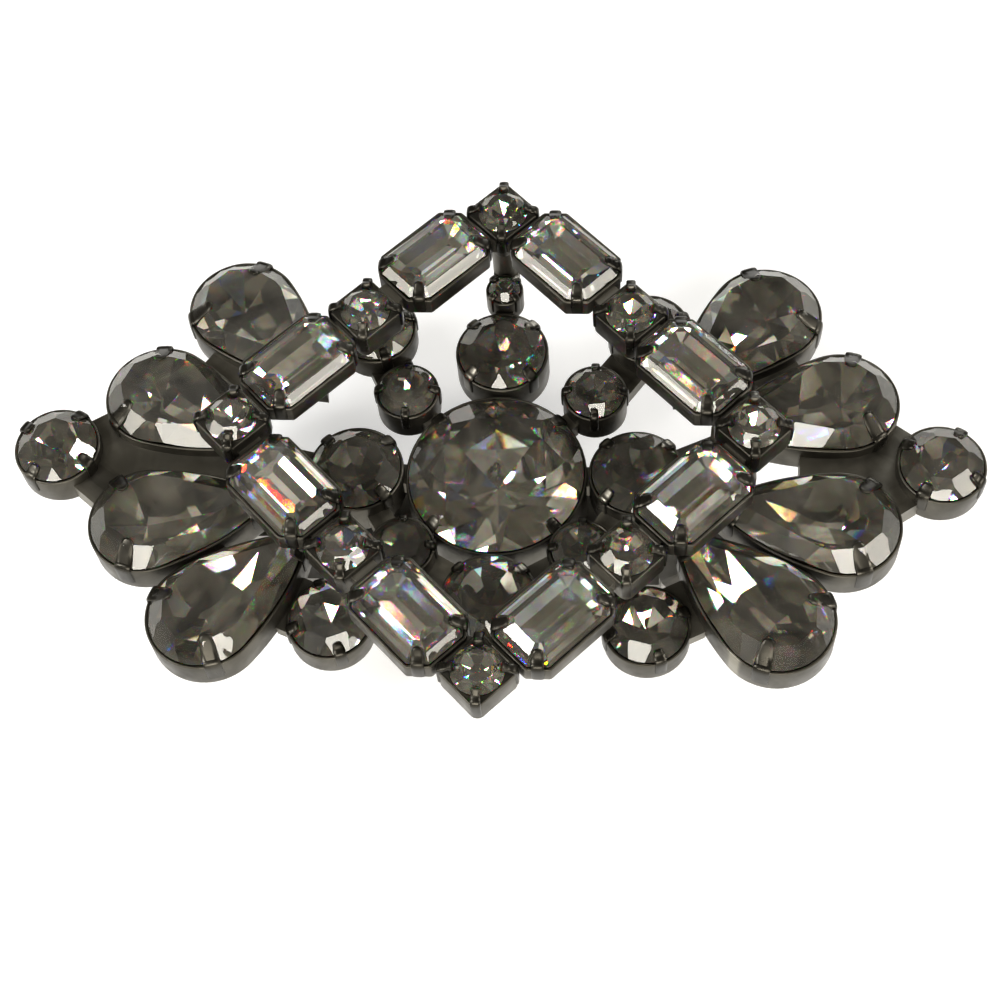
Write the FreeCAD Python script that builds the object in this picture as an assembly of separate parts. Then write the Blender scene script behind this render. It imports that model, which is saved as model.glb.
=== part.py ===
import FreeCAD, Part
import math
import os
from collections import namedtuple

# Rhinestone hair clip, lying face up on its closed clasp arm.
# Millimetres. X is the long axis, +Z points out of the ornament's face, z = 0 is the
# underside of the clasp arm, and the origin is the centre of the ornament's outline.

V = FreeCAD.Vector
UP = V(0, 0, 1)
CLEAR = 0.03              # play between a stone and the metal around it

# ---- cups ----
WALL = 0.2
FLOOR = 0.35
RIM = 0.08                # how far the wall stands above the girdle (the stone's widest line)
FOOT_R = 0.45             # rounding of a cup's foot
FRAME_FOOT_R = 0.3
PRONG_THICK = 0.32

# ---- round settings ----
# radius and deep: the cup's outside and its height below the girdle; level: height of the girdle;
# crown and table: the stone's height above the girdle and how far its flat top lies inside its edge;
# prong_wide, reach, first: the four prongs' width, how far they lie over the stone, first one's direction
Round = namedtuple("Round", "radius deep level crown table prong_wide reach first")
CENTRE = Round(6.25, 5.0, 13.5, 1.9, 2.3, 1.0, 0.75, 45)
INNER = Round(3.3, 3.0, 14.0, 1.1, 1.2, 0.85, 0.7, 45)
ACCENT = Round(2.25, 2.6, 14.3, 0.8, 0.7, 0.6, 0.45, 0)
BEAD = Round(1.35, 2.2, 14.8, 0.6, 0.5, 0.5, 0.35, 45)
OUTER = Round(2.9, 2.2, 14.3, 1.0, 1.0, 0.8, 0.6, 20)
TIP = Round(2.98, 2.6, 15.8, 1.1, 1.2, 0.9, 0.7, 60)

# ---- pear settings ----
WING_LEVEL = 15.8
PEAR_R, PEAR_REACH, PEAR_SIDE_R, PEAR_DEEP = 3.9, 9.1, 18.0, 2.6
PEAR_CROWN, PEAR_TABLE = 1.3, 1.25
PEAR_PRONG_WIDE, PEAR_PRONG_RISE, PEAR_PRONG_REACH, PEAR_PRONG_SWING = 1.05, 1.3, 1.15, 63
SMALL_PRONG_WIDE, SMALL_PRONG_RISE, SMALL_PRONG_REACH, SMALL_PRONG_ALONG = 0.8, 1.2, 0.7, 0.22

# ---- frame settings ----
FRAME_LEVEL = 20.1
FRAME_SIDE_LEVEL = 20.6   # the frame's left and right corners stand a little higher
SQUARE_SIDE, SQUARE_CORNER_R, SQUARE_DEEP = 3.8, 0.6, 2.1
SQUARE_STONE_R, SQUARE_CROWN, SQUARE_TABLE = 1.72, 0.75, 0.7
SQUARE_PRONG_WIDE, SQUARE_PRONG_RISE, SQUARE_PRONG_OVER, SQUARE_PRONG_SLOPE = 0.75, 1.3, 0.35, 0.55
BAR_LONG, BAR_WIDE, BAR_CUT, BAR_DEEP = 7.7, 5.3, 1.15, 1.5
BAR_CROWN, BAR_TABLE, BAR_GIRDLE = 1.1, 1.2, 0.25
BAR_PRONG_WIDE, BAR_PRONG_RISE, BAR_PRONG_REACH = 0.85, 1.1, 0.9
GIRDLE = 0.2              # thickness of a stone's edge
KEEL = 0.86               # how much of its half width a stone loses on the way down to its small end

# ---- layout of the settings ----
INNER_OUT = 9.65          # centre to each inner round
BEAD_OUT = 14.4
# The rounds near the diagonals were soldered by eye, so two of them sit off their symmetric places.
ACCENTS = [(-6.05, -6.05), (-6.5, 6.1), (6.05, -6.05), (6.65, 6.15)]
OUTERS = [(-10.4, -11.5), (-9.1, 11.3), (10.4, -11.5), (10.4, 11.5)]
TIPS = {"left": (-30.2, 0.4), "right": (29.9, 0.0)}
# Each wing: centre of the pear's round end, and how far its axis leans to the X axis.
WINGS = {
    "left": {"a": (-18.5, 12.0, 45), "b": (-23.5, 4.6, 24),
             "c": (-23.3, -5.2, 12), "d": (-18.5, -12.0, 43)},
    "right": {"a": (18.5, 11.8, 45), "b": (23.5, 4.75, 13),
              "c": (23.2, -4.6, 8), "d": (18.7, -11.5, 43)},
}
FRAME_REACH = 18.1        # where the frame's side lines cross the axes
FRAME_TOP = 17.35         # corner setting, top and bottom
FRAME_SIDE = 17.2         # corner setting, left and right
FRAME_MID = FRAME_REACH / 2
BAR_NEAR_TOP = 4.55       # x of the baguettes next to the top and bottom corners
BAR_NEAR_SIDE = 13.3      # x of the baguettes next to the left and right corners

# ---- posts and solder ----
RISER_AT, RISER_R, RISER_FOOT = 8.2, 0.6, 11.4
CORNER_RISERS = [(16.75, 0.95), (-16.5, 0.6)]             # y and radius
CORNER_RISER_FOOT = 12.7
SIDE_RISER_AT, SIDE_RISER_R, SIDE_RISER_FOOT = (17.2, -0.5), 0.45, 13.4
NECK_WIDE = 1.3
MIDDLE_WEBS = {"left": (3.4, 7.2), "right": (1.0, 3.6)}   # along the pears' axes, and width
TIP_WEB_START, TIP_WEB_WIDE = 23.0, 4.4
UPPER_WEB_WIDE, LOWER_WEB_WIDE = 3.0, 4.0
FRAME_LINK_LOW, FRAME_LINK_HIGH, FRAME_LINK_WIDE = FRAME_LEVEL - 1.4, FRAME_LEVEL - 0.3, 1.8
CORNER_LINK_Y, CORNER_LINK_X = 15.6, 3.0

# ---- clasp: a French barrette back, 38 mm long, set a little behind the centre line ----
CLASP_Y = 0.5
BASE_X0, BASE_X1, BASE_WIDE, BASE_THICK = -21.4, 17.0, 6.0, 0.9
BASE_BOTTOM = 7.6
BASE_TOP = BASE_BOTTOM + BASE_THICK
ARM_X0, ARM_X1, ARM_WIDE, ARM_THICK = -21.0, 17.2, 5.2, 0.9
ARM_STEP_X0, ARM_STEP_X1, ARM_STEP_RISE = 11.4, 12.2, 1.1
ARM_END_WIDE = 7.0
WINDOW_X0, WINDOW_X1, WINDOW_WIDE = 12.9, 15.5, 4.6
PIN_X, PIN_Z, PIN_R = -20.0, 3.2, 0.6
PIN_HEAD_R, PIN_HEAD_THICK = 0.9, 0.25
KNUCKLE_R, KNUCKLE_WIDE, KNUCKLE_BORE_R = 1.25, 4.5, 0.66
EAR_THICK, EAR_R = 0.6, 1.3
BOW_X0, BOW_X1, BOW_FOOT, BOW_WIDE, BOW_THICK, BOW_LOW = -17.5, 11.5, 1.6, 5.0, 0.4, 5.45
TAB_X0, TAB_X1, TAB_THICK, TAB_INNER = 13.2, 15.2, 0.5, 1.6
TAB_LOW, TAB_HIGH = 0.35, 7.45
BARB_OUT, BARB_HIGH = 0.15, 0.6
PAD_OUT, PAD_LOW, PAD_HIGH, PAD_THICK = 3.4, 3.2, 6.2, 0.4
BASE_POST_R = 1.1
FOOT_POSTS = [(-19.3, 2.5, 0.6), (-19.8, -1.9, 0.45), (15.9, 2.7, 0.45)]


# ======================= outlines =======================
# An outline is a function of an inset: it gives the closed wire that lies that far inside.

def round_outline(radius):
    def wire(inset):
        return Part.Wire(Part.makeCircle(radius - inset))
    return wire


def pear_outline():
    """Round end at the origin, point towards +X, sides as long arcs tangent to the round end."""
    swing = PEAR_SIDE_R - PEAR_R
    top = 2 * PEAR_R * PEAR_SIDE_R - PEAR_R ** 2 - PEAR_REACH ** 2
    lean = math.acos(top / (2 * PEAR_REACH * swing))

    def wire(inset):
        r, side = PEAR_R - inset, PEAR_SIDE_R - inset
        cx, cy = -swing * math.cos(lean), swing * math.sin(lean)
        tip = V(cx + math.sqrt(side ** 2 - cy ** 2), 0, 0)
        upper = V(r * math.cos(lean), r * math.sin(lean), 0)
        lower = V(upper.x, -upper.y, 0)
        tip_angle = math.atan2(cy, tip.x - cx)
        half = (lean + tip_angle) / 2
        mid_up = V(cx + side * math.cos(half), -cy + side * math.sin(half), 0)
        mid_low = V(mid_up.x, -mid_up.y, 0)
        return Part.Wire([
            Part.Arc(tip, mid_up, upper).toShape(),
            Part.Arc(upper, V(-r, 0, 0), lower).toShape(),
            Part.Arc(lower, mid_low, tip).toShape(),
        ])
    return wire


def octagon_outline(long, wide, cut):
    """Rectangle with cut corners, long side along X."""
    def wire(inset):
        a, b = long / 2 - inset, wide / 2 - inset
        c = cut - inset * (2 - math.sqrt(2))
        half = [(a, b - c), (a - c, b), (c - a, b), (-a, b - c)]
        corners = half + [(-x, -y) for x, y in half]
        return Part.makePolygon([V(x, y, 0) for x, y in corners + corners[:1]])
    return wire


def square_outline(side, corner):
    def wire(inset):
        half = side / 2 - inset
        box = Part.makeBox(2 * half, 2 * half, 1, V(-half, -half, 0))
        upright = [e for e in box.Edges if abs(e.tangentAt(e.FirstParameter).z) > 0.9]
        solid = box.makeFillet(corner, upright)
        flat = min(solid.Faces, key=lambda f: f.CenterOfMass.z)
        return flat.OuterWire
    return wire


def prism(wire, z0, z1):
    face = Part.Face(wire)
    face.translate(V(0, 0, z0))
    return face.extrude(V(0, 0, z1 - z0))


def loft(wire_low, z_low, wire_high, z_high):
    low, high = wire_low.copy(), wire_high.copy()
    low.translate(V(0, 0, z_low))
    high.translate(V(0, 0, z_high))
    return Part.makeLoft([low, high], True, True)


# ======================= stones and cups =======================
# Both are made with the girdle at z = 0 and are placed afterwards.

def stone(outline, half_wide, crown_high, table_inset, girdle, depth):
    """Cut stone: flat table, sloping crown, thin girdle, and a pavilion that narrows to a small end."""
    body = prism(outline(0), -girdle / 2, girdle / 2)
    crown = loft(outline(0), girdle / 2, outline(table_inset), crown_high)
    pavilion = loft(outline(half_wide * KEEL), -depth, outline(0), -girdle / 2)
    return body.fuse([crown, pavilion]).removeSplitter()


def prong(wide, rise, reach, crown_slope, outer):
    """Bent metal tongue at radius outer on +X: up the wall, then in over the crown."""
    thick = PRONG_THICK
    inner = outer - WALL
    lift = CLEAR + 0.1
    over = inner - reach
    high = lift + reach * crown_slope
    pts = [
        (outer, -rise), (outer, lift + 0.1), (inner, lift + thick + 0.1),
        (over + 0.15, high + thick), (over, high + thick * 0.6), (over, high + 0.02),
        (inner, lift), (inner, -rise),
    ]
    face = Part.Face(Part.makePolygon([V(x, -wide / 2, z) for x, z in pts + pts[:1]]))
    return face.extrude(V(0, wide, 0))


def cup(outer_wire, cavity_wire, deep, prongs, foot_round):
    """Drawn metal cup: rounded foot, thin wall, open top, and its prongs fused on."""
    shell = prism(outer_wire, -deep, RIM)
    foot = [e for e in shell.Edges if max(v.Z for v in e.Vertexes) < -deep + 0.001]
    shell = shell.makeFillet(foot_round, foot)
    shell = shell.cut(prism(cavity_wire, FLOOR - deep, RIM + 1))
    return shell.fuse(prongs).removeSplitter()


def turned(shape, degrees, x=0.0, y=0.0, z=0.0):
    moved = shape.copy()
    moved.rotate(V(0, 0, 0), UP, degrees)
    moved.translate(V(x, y, z))
    return moved


def round_setting(size):
    """Round stone in a round cup: returns (stone, cup)."""
    stone_r = size.radius - WALL - CLEAR
    slope = (size.crown - GIRDLE / 2) / size.table
    depth = size.deep - FLOOR - CLEAR
    gem = stone(round_outline(stone_r), stone_r, size.crown, size.table, GIRDLE, depth)
    tongue = prong(size.prong_wide, min(1.2, size.deep * 0.5), size.reach, slope, size.radius)
    prongs = [turned(tongue, size.first + 90 * i) for i in range(4)]
    outline = round_outline(size.radius)
    return gem, cup(outline(0), outline(WALL), size.deep, prongs, FOOT_R)


def pear_setting():
    """Pear stone in a pear cup, prongs beside the round end and beside the point."""
    outline = pear_outline()
    inset = WALL + CLEAR
    slope = (PEAR_CROWN - GIRDLE / 2) / PEAR_TABLE
    depth = PEAR_DEEP - FLOOR - CLEAR
    gem = stone(lambda d: outline(d + inset), PEAR_R - inset, PEAR_CROWN, PEAR_TABLE, GIRDLE, depth)
    tongue = prong(PEAR_PRONG_WIDE, PEAR_PRONG_RISE, PEAR_PRONG_REACH, slope, PEAR_R)
    prongs = [turned(tongue, 180 + side * PEAR_PRONG_SWING) for side in (-1, 1)]
    small = prong(SMALL_PRONG_WIDE, SMALL_PRONG_RISE, SMALL_PRONG_REACH, slope, PEAR_R)
    small.translate(V(-PEAR_R, 0, 0))
    edge = outline(0)
    for side in (-1, 1):
        arc = edge.Edges[0 if side > 0 else 2]
        share = SMALL_PRONG_ALONG if side > 0 else 1 - SMALL_PRONG_ALONG
        at = arc.FirstParameter + share * (arc.LastParameter - arc.FirstParameter)
        point, tangent = arc.valueAt(at), arc.tangentAt(at)
        heading = math.degrees(math.atan2(tangent.y, tangent.x)) - 90
        if V(math.cos(math.radians(heading)), math.sin(math.radians(heading)), 0).y * side < 0:
            heading += 180
        prongs.append(turned(small, heading, point.x, point.y))
    return gem, cup(outline(0), outline(WALL), PEAR_DEEP, prongs, FOOT_R)


def baguette_setting():
    """Step-cut stone with cut corners in a matching cup, a prong on each cut corner."""
    outline = octagon_outline(BAR_LONG, BAR_WIDE, BAR_CUT)
    inset = WALL + CLEAR
    depth = BAR_DEEP - FLOOR - CLEAR
    gem = stone(lambda d: outline(d + inset), BAR_WIDE / 2 - inset, BAR_CROWN, BAR_TABLE, BAR_GIRDLE, depth)
    slope = (BAR_CROWN - GIRDLE / 2) / BAR_TABLE
    tongue = prong(BAR_PRONG_WIDE, BAR_PRONG_RISE, BAR_PRONG_REACH, slope, BAR_WIDE / 2)
    tongue.translate(V(-BAR_WIDE / 2, 0, 0))
    prongs = []
    for sx in (-1, 1):
        for sy in (-1, 1):
            x = sx * (BAR_LONG - BAR_CUT) / 2
            y = sy * (BAR_WIDE - BAR_CUT) / 2
            prongs.append(turned(tongue, math.degrees(math.atan2(sy, sx)), x, y))
    return gem, cup(outline(0), outline(WALL), BAR_DEEP, prongs, FRAME_FOOT_R)


def square_setting():
    """Small round stone in a square cup, a prong at each corner."""
    depth = SQUARE_DEEP - FLOOR - CLEAR
    gem = stone(round_outline(SQUARE_STONE_R), SQUARE_STONE_R, SQUARE_CROWN, SQUARE_TABLE, GIRDLE, depth)
    corner = SQUARE_SIDE / 2 * math.sqrt(2) - SQUARE_CORNER_R * (math.sqrt(2) - 1)
    reach = corner - WALL - SQUARE_STONE_R + SQUARE_PRONG_OVER
    tongue = prong(SQUARE_PRONG_WIDE, SQUARE_PRONG_RISE, reach, SQUARE_PRONG_SLOPE, corner)
    prongs = [turned(tongue, 45 + 90 * i) for i in range(4)]
    seat = round_outline(SQUARE_STONE_R + CLEAR)(0)
    metal = cup(square_outline(SQUARE_SIDE, SQUARE_CORNER_R)(0), seat, SQUARE_DEEP, prongs, FRAME_FOOT_R)
    return gem, metal.cut(prism(seat, FLOOR - SQUARE_DEEP, CLEAR + 0.12))


# ======================= placing the settings =======================

parts = {}
cup_blocks = []           # every cup and its filled outline, used to trim the solder necks


def add(node, shapes):
    parts[node] = shapes


def place_group(stone_node, cup_node, setting, outer_wire, deep, places):
    gem, metal = setting
    add(stone_node, [turned(gem, turn, x, y, z) for x, y, z, turn in places])
    add(cup_node, [turned(metal, turn, x, y, z) for x, y, z, turn in places])
    filled = prism(outer_wire, -deep, RIM)
    cup_blocks.extend(turned(filled, turn, x, y, z) for x, y, z, turn in places)
    cup_blocks.extend(parts[cup_node])


def quarters(x, y):
    return [(sx * x, sy * y) for sx in (-1, 1) for sy in (-1, 1)]


def place_rounds(stone_node, cup_node, size, places):
    """Places (x, y, turn) of one kind of round setting; gives them back with their level."""
    levelled = [(x, y, size.level, turn) for x, y, turn in places]
    outer_wire = round_outline(size.radius)(0)
    place_group(stone_node, cup_node, round_setting(size), outer_wire, size.deep, levelled)
    return levelled


place_rounds("centre_stone", "centre_cup", CENTRE, [(0, 0, 0)])
inner_places = place_rounds("inner_round_stones", "inner_round_cups", INNER, [
    (INNER_OUT, 0, 0), (0, INNER_OUT, 90), (-INNER_OUT, 0, 180), (0, -INNER_OUT, 270)])
accent_places = place_rounds("accent_stones", "accent_cups", ACCENT, [(x, y, 0) for x, y in ACCENTS])
bead_places = place_rounds("bead_stones", "bead_cups", BEAD, [(0, -BEAD_OUT, 0), (0, BEAD_OUT, 0)])
outer_places = place_rounds("outer_round_stones", "outer_round_cups", OUTER, [(x, y, 0) for x, y in OUTERS])
for side, (x, y) in TIPS.items():
    place_rounds("tip_stone_" + side, "tip_cup_" + side, TIP, [(x, y, 180 if side == "left" else 0)])

pear = pear_setting()
pear_turn = {}
for side, pears in WINGS.items():
    inward = 0 if side == "left" else 180
    for letter, (x, y, lean) in pears.items():
        to_axis = -1 if y > 0 else 1
        turn = inward + lean * to_axis * (1 if side == "left" else -1)
        pear_turn[side, letter] = turn
        place_group("pear_stone_%s_%s" % (side, letter), "pear_cup_%s_%s" % (side, letter), pear,
                    pear_outline()(0), PEAR_DEEP, [(x, y, WING_LEVEL, turn)])

baguette = baguette_setting()
baguette_at = {}
for sx, side in ((-1, "left"), (1, "right")):
    for sy, end in ((1, "top"), (-1, "bottom")):
        for x, name in ((BAR_NEAR_TOP, "outer"), (BAR_NEAR_SIDE, "side")):
            where = (sx * x, sy * (FRAME_REACH - x), FRAME_LEVEL, -45 * sx * sy)
            key = "%s_%s_%s" % (end, side, name)
            baguette_at[key] = where
            place_group("baguette_" + key, "baguette_cup_" + key, baguette,
                        octagon_outline(BAR_LONG, BAR_WIDE, BAR_CUT)(0), BAR_DEEP, [where])

square_places = [(x, y, FRAME_LEVEL, 45) for x, y in quarters(FRAME_MID, FRAME_MID)]
square_places += [(0, side * FRAME_TOP, FRAME_LEVEL, 45) for side in (-1, 1)]
square_places += [(side * FRAME_SIDE, 0, FRAME_SIDE_LEVEL, 45) for side in (-1, 1)]
place_group("frame_round_stones", "frame_square_cups", square_setting(),
            square_outline(SQUARE_SIDE, SQUARE_CORNER_R)(0), SQUARE_DEEP, square_places)


# ======================= posts and solder necks =======================

def post(x, y, radius, z0, z1):
    return Part.makeCylinder(radius, z1 - z0, V(x, y, z0))


frame_bottom = FRAME_LEVEL - SQUARE_DEEP
risers = []
for side in (-1, 1):
    risers.append(post(side * RISER_AT, -RISER_AT, RISER_R, RISER_FOOT, frame_bottom))
    risers.append(post(side * SIDE_RISER_AT[0], SIDE_RISER_AT[1], SIDE_RISER_R, SIDE_RISER_FOOT,
                       FRAME_SIDE_LEVEL - SQUARE_DEEP))
for y, radius in CORNER_RISERS:
    risers.append(post(0, y, radius, CORNER_RISER_FOOT, frame_bottom))
add("riser_posts", risers)

inner_bottom = INNER.level - INNER.deep
base_posts = [post(side * INNER_OUT, CLASP_Y, BASE_POST_R, BASE_TOP, inner_bottom) for side in (-1, 1)]
base_posts += [post(x, y, r, BASE_TOP, WING_LEVEL - PEAR_DEEP) for x, y, r in FOOT_POSTS]
add("base_posts", base_posts)


def neck(start, end, z0, z1, wide=NECK_WIDE):
    """Bar of solder between two cups' middles, trimmed back to the metal it joins."""
    (x0, y0), (x1, y1) = start[:2], end[:2]
    length = math.hypot(x1 - x0, y1 - y0)
    bar = Part.makeBox(length, wide, z1 - z0, V(0, -wide / 2, z0))
    bar = turned(bar, math.degrees(math.atan2(y1 - y0, x1 - x0)), x0, y0)
    touching = [b for b in cup_blocks + risers if b.BoundBox.intersect(bar.BoundBox)]
    return [s for s in bar.cut(touching).Solids if s.Volume > 0.02]


def joined(bars):
    """Bars that run into each other become one solid."""
    return bars[0].fuse(bars[1:]).removeSplitter().Solids


def near(places, x, y):
    return min(places, key=lambda p: math.hypot(p[0] - x, p[1] - y))


def along_pear(side, letter, distance):
    """Point on a pear's axis, measured from its round end towards its point."""
    x, y, _ = WINGS[side][letter]
    turn = math.radians(pear_turn[side, letter])
    return x + distance * math.cos(turn), y + distance * math.sin(turn)


low_necks = []
for place in inner_places + accent_places:
    low_necks += neck((0, 0), place, 11.9, 13.2)
for x, y, _, _ in bead_places:
    low_necks += neck(near(inner_places, x, y), (x, y), 12.8, 13.8)
for y, radius in CORNER_RISERS:
    low_necks += neck((0, math.copysign(BEAD_OUT, y)), (0, y), 12.9, 14.2, 2 * radius - 0.1)
for x, y, _, _ in accent_places:
    outer_place = near(outer_places, 1.8 * x, 1.8 * y)
    if y > 0:
        low_necks += neck((x, y), outer_place, 11.8, 12.9, UPPER_WEB_WIDE)
    else:
        foot = (math.copysign(RISER_AT, x), -RISER_AT)
        low_necks += neck((x, y), foot, 11.8, 12.9, 1.0)
        low_necks += neck(foot, outer_place, 11.6, 12.9, 1.0)
        low_necks += neck((x, y), (0, -INNER_OUT), 11.8, 13.0, 2.6)
        low_necks += neck((x, y), (math.copysign(INNER_OUT, x), 0), 11.8, 13.0, 1.6)
add("solder_necks_centre", joined(low_necks))

for side in ("left", "right"):
    sign = -1 if side == "left" else 1
    necks = neck(along_pear(side, "a", 2), near(outer_places, sign * 11, 11), 13.3, 14.2)
    necks += neck(along_pear(side, "d", 4), near(outer_places, sign * 11, -11), 13.3, 14.2, LOWER_WEB_WIDE)
    necks += neck(along_pear(side, "a", 2), along_pear(side, "b", 2), 13.4, 15.0, 3.4)
    web, web_wide = MIDDLE_WEBS[side]
    necks += neck(along_pear(side, "b", web), along_pear(side, "c", web), 13.4, 15.0, web_wide)
    necks += neck(along_pear(side, "c", 2), along_pear(side, "d", 2), 13.4, 15.0, 3.4)
    foot = (sign * SIDE_RISER_AT[0], SIDE_RISER_AT[1])
    necks += neck((sign * TIP_WEB_START, 0), TIPS[side], 13.4, 15.0, TIP_WEB_WIDE)
    for letter in "bc":
        necks += neck(along_pear(side, letter, 0), TIPS[side], 13.4, 15.0, 2.4)
        necks += neck(along_pear(side, letter, 7.5), (sign * INNER_OUT, 0), 13.3, 13.9)
        necks += neck(along_pear(side, letter, 6.5), foot, 13.5, 14.6, 1.0)
    add("solder_necks_" + side, joined(necks))

frame_links = []
for x, y, z, _ in baguette_at.values():
    for sx, sy, sz, _ in square_places:
        if math.hypot(sx - x, sy - y) < 6.8:
            frame_links += neck((x, y), (sx, sy), FRAME_LINK_LOW, FRAME_LINK_HIGH, FRAME_LINK_WIDE)
for y in (-CORNER_LINK_Y, CORNER_LINK_Y):
    frame_links += neck((-CORNER_LINK_X, y), (CORNER_LINK_X, y), FRAME_LINK_LOW, FRAME_LINK_HIGH)
add("frame_links", joined(frame_links))


# ======================= clasp =======================

def slab(x0, x1, wide, z0, z1):
    return Part.makeBox(x1 - x0, wide, z1 - z0, V(x0, CLASP_Y - wide / 2, z0))


def rounded(shape, radius):
    upright = [e for e in shape.Edges if e.BoundBox.XLength < 0.001 and e.BoundBox.YLength < 0.001]
    return shape.makeFillet(radius, upright)


def y_cylinder(x, z, radius, y0, y1):
    return Part.makeCylinder(radius, y1 - y0, V(x, y0, z), V(0, 1, 0))


def clasp_arm():
    """Flat arm that lies under the hair, with a hinge knuckle at one end and a window at the other."""
    arm = rounded(slab(ARM_X0, ARM_STEP_X1, ARM_WIDE, 0, ARM_THICK), 0.4)
    end = slab(ARM_STEP_X0, ARM_X1, ARM_END_WIDE, ARM_STEP_RISE, ARM_STEP_RISE + ARM_THICK)
    end = rounded(end, 1.2)
    riser = slab(ARM_STEP_X0, ARM_STEP_X1, ARM_WIDE, 0, ARM_STEP_RISE + ARM_THICK)
    window = rounded(slab(WINDOW_X0, WINDOW_X1, WINDOW_WIDE, 0, 4), 0.4)
    half = KNUCKLE_WIDE / 2
    knuckle = y_cylinder(PIN_X, PIN_Z, KNUCKLE_R, CLASP_Y - half, CLASP_Y + half)
    web = slab(ARM_X0 + 0.4, PIN_X + KNUCKLE_R, KNUCKLE_WIDE, 0, PIN_Z)
    bore = y_cylinder(PIN_X, PIN_Z, KNUCKLE_BORE_R, CLASP_Y - 5, CLASP_Y + 5)
    return arm.fuse([end, riser, web, knuckle]).cut(window).cut(bore).removeSplitter()


def hinge_pin():
    half = BASE_WIDE / 2
    shaft = y_cylinder(PIN_X, PIN_Z, PIN_R, CLASP_Y - half, CLASP_Y + half)
    heads = [y_cylinder(PIN_X, PIN_Z, PIN_HEAD_R, CLASP_Y + half, CLASP_Y + half + PIN_HEAD_THICK),
             y_cylinder(PIN_X, PIN_Z, PIN_HEAD_R, CLASP_Y - half - PIN_HEAD_THICK, CLASP_Y - half)]
    return shaft.fuse(heads).removeSplitter()


def base_bar():
    """Bar soldered under the ornament, with two ears that carry the hinge pin."""
    bar = rounded(slab(BASE_X0, BASE_X1, BASE_WIDE, BASE_BOTTOM, BASE_TOP), 1.0)
    for sign in (-1, 1):
        edge = CLASP_Y + sign * BASE_WIDE / 2
        y0, y1 = sorted((edge, edge - sign * EAR_THICK))
        ear = Part.makeBox(2 * EAR_R, y1 - y0, BASE_BOTTOM + 0.3 - PIN_Z, V(PIN_X - EAR_R, y0, PIN_Z))
        bar = bar.fuse([ear, y_cylinder(PIN_X, PIN_Z, EAR_R, y0, y1)])
    bore = y_cylinder(PIN_X, PIN_Z, PIN_R + 0.01, CLASP_Y - 5, CLASP_Y + 5)
    return bar.cut(bore).removeSplitter()


def tension_bow():
    """Leaf spring arched down from the base bar, a flat foot at each end against the bar."""
    mid = (BOW_X0 + BOW_X1) / 2
    low = BOW_LOW

    def half_profile(z_mid, z_foot):
        x0, x1 = BOW_X0 + BOW_FOOT, BOW_X1 - BOW_FOOT
        return Part.Arc(V(x0, 0, z_foot), V(mid, 0, z_mid), V(x1, 0, z_foot)).toShape()

    under = half_profile(low, BASE_BOTTOM - BOW_THICK)
    over = half_profile(low + BOW_THICK, BASE_BOTTOM)
    ends = [Part.makeLine(u.Point, o.Point) for u, o in zip(under.Vertexes, over.Vertexes)]
    leaf = Part.Face(Part.Wire(Part.__sortEdges__([under, ends[0], over, ends[1]])))
    leaf.translate(V(0, CLASP_Y - BOW_WIDE / 2, 0))
    leaf = leaf.extrude(V(0, BOW_WIDE, 0))
    z0 = BASE_BOTTOM - BOW_THICK
    feet = [slab(BOW_X0, BOW_X0 + BOW_FOOT, BOW_WIDE, z0, BASE_BOTTOM),
            slab(BOW_X1 - BOW_FOOT, BOW_X1, BOW_WIDE, z0, BASE_BOTTOM)]
    return leaf.fuse(feet).removeSplitter()


def catch_tab(sign):
    """Springy tab with a barb below and a finger pad outside; sign is its side of the clasp."""
    def piece(inner, outer, z0, z1):
        y0, y1 = sorted((CLASP_Y + sign * inner, CLASP_Y + sign * outer))
        return Part.makeBox(TAB_X1 - TAB_X0, y1 - y0, z1 - z0, V(TAB_X0, y0, z0))

    outer = TAB_INNER + TAB_THICK
    blade = piece(TAB_INNER, outer, TAB_LOW, TAB_HIGH)
    barb = piece(outer, outer + BARB_OUT, TAB_LOW, TAB_LOW + BARB_HIGH)
    web = piece(outer, PAD_OUT, PAD_HIGH - PAD_THICK, PAD_HIGH)
    pad = piece(PAD_OUT - PAD_THICK, PAD_OUT, PAD_LOW, PAD_HIGH)
    return blade.fuse([barb, web, pad]).removeSplitter()


add("clasp_arm", [clasp_arm()])
add("hinge_pin", [hinge_pin()])
add("base_bar", [base_bar()])
add("tension_bow", [tension_bow()])
add("catch_tab_front", [catch_tab(-1)])
add("catch_tab_back", [catch_tab(1)])

os.makedirs("parts", exist_ok=True)
for node, shapes in parts.items():
    shape = shapes[0] if len(shapes) == 1 else Part.makeCompound(shapes)
    shape.exportStep("parts/%s.step" % node)
print(len(parts), "nodes,", sum(len(Part.makeCompound(s).Solids) for s in parts.values()), "solids")
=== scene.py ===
import math
import random

import bmesh
import bpy
import numpy as np
from mathutils import Matrix, Vector


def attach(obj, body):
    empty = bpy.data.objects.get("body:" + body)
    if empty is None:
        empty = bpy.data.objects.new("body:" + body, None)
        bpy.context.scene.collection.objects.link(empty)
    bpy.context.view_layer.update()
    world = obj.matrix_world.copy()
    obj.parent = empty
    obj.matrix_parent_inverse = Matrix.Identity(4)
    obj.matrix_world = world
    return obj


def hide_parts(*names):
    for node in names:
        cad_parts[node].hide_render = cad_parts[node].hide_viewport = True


# Rhinestone hair clip. Shapes are written in millimetres and scaled to metres when a mesh is made.
# A stone or cup is built with its girdle (the stone's widest line) at z = 0, then placed.

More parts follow.
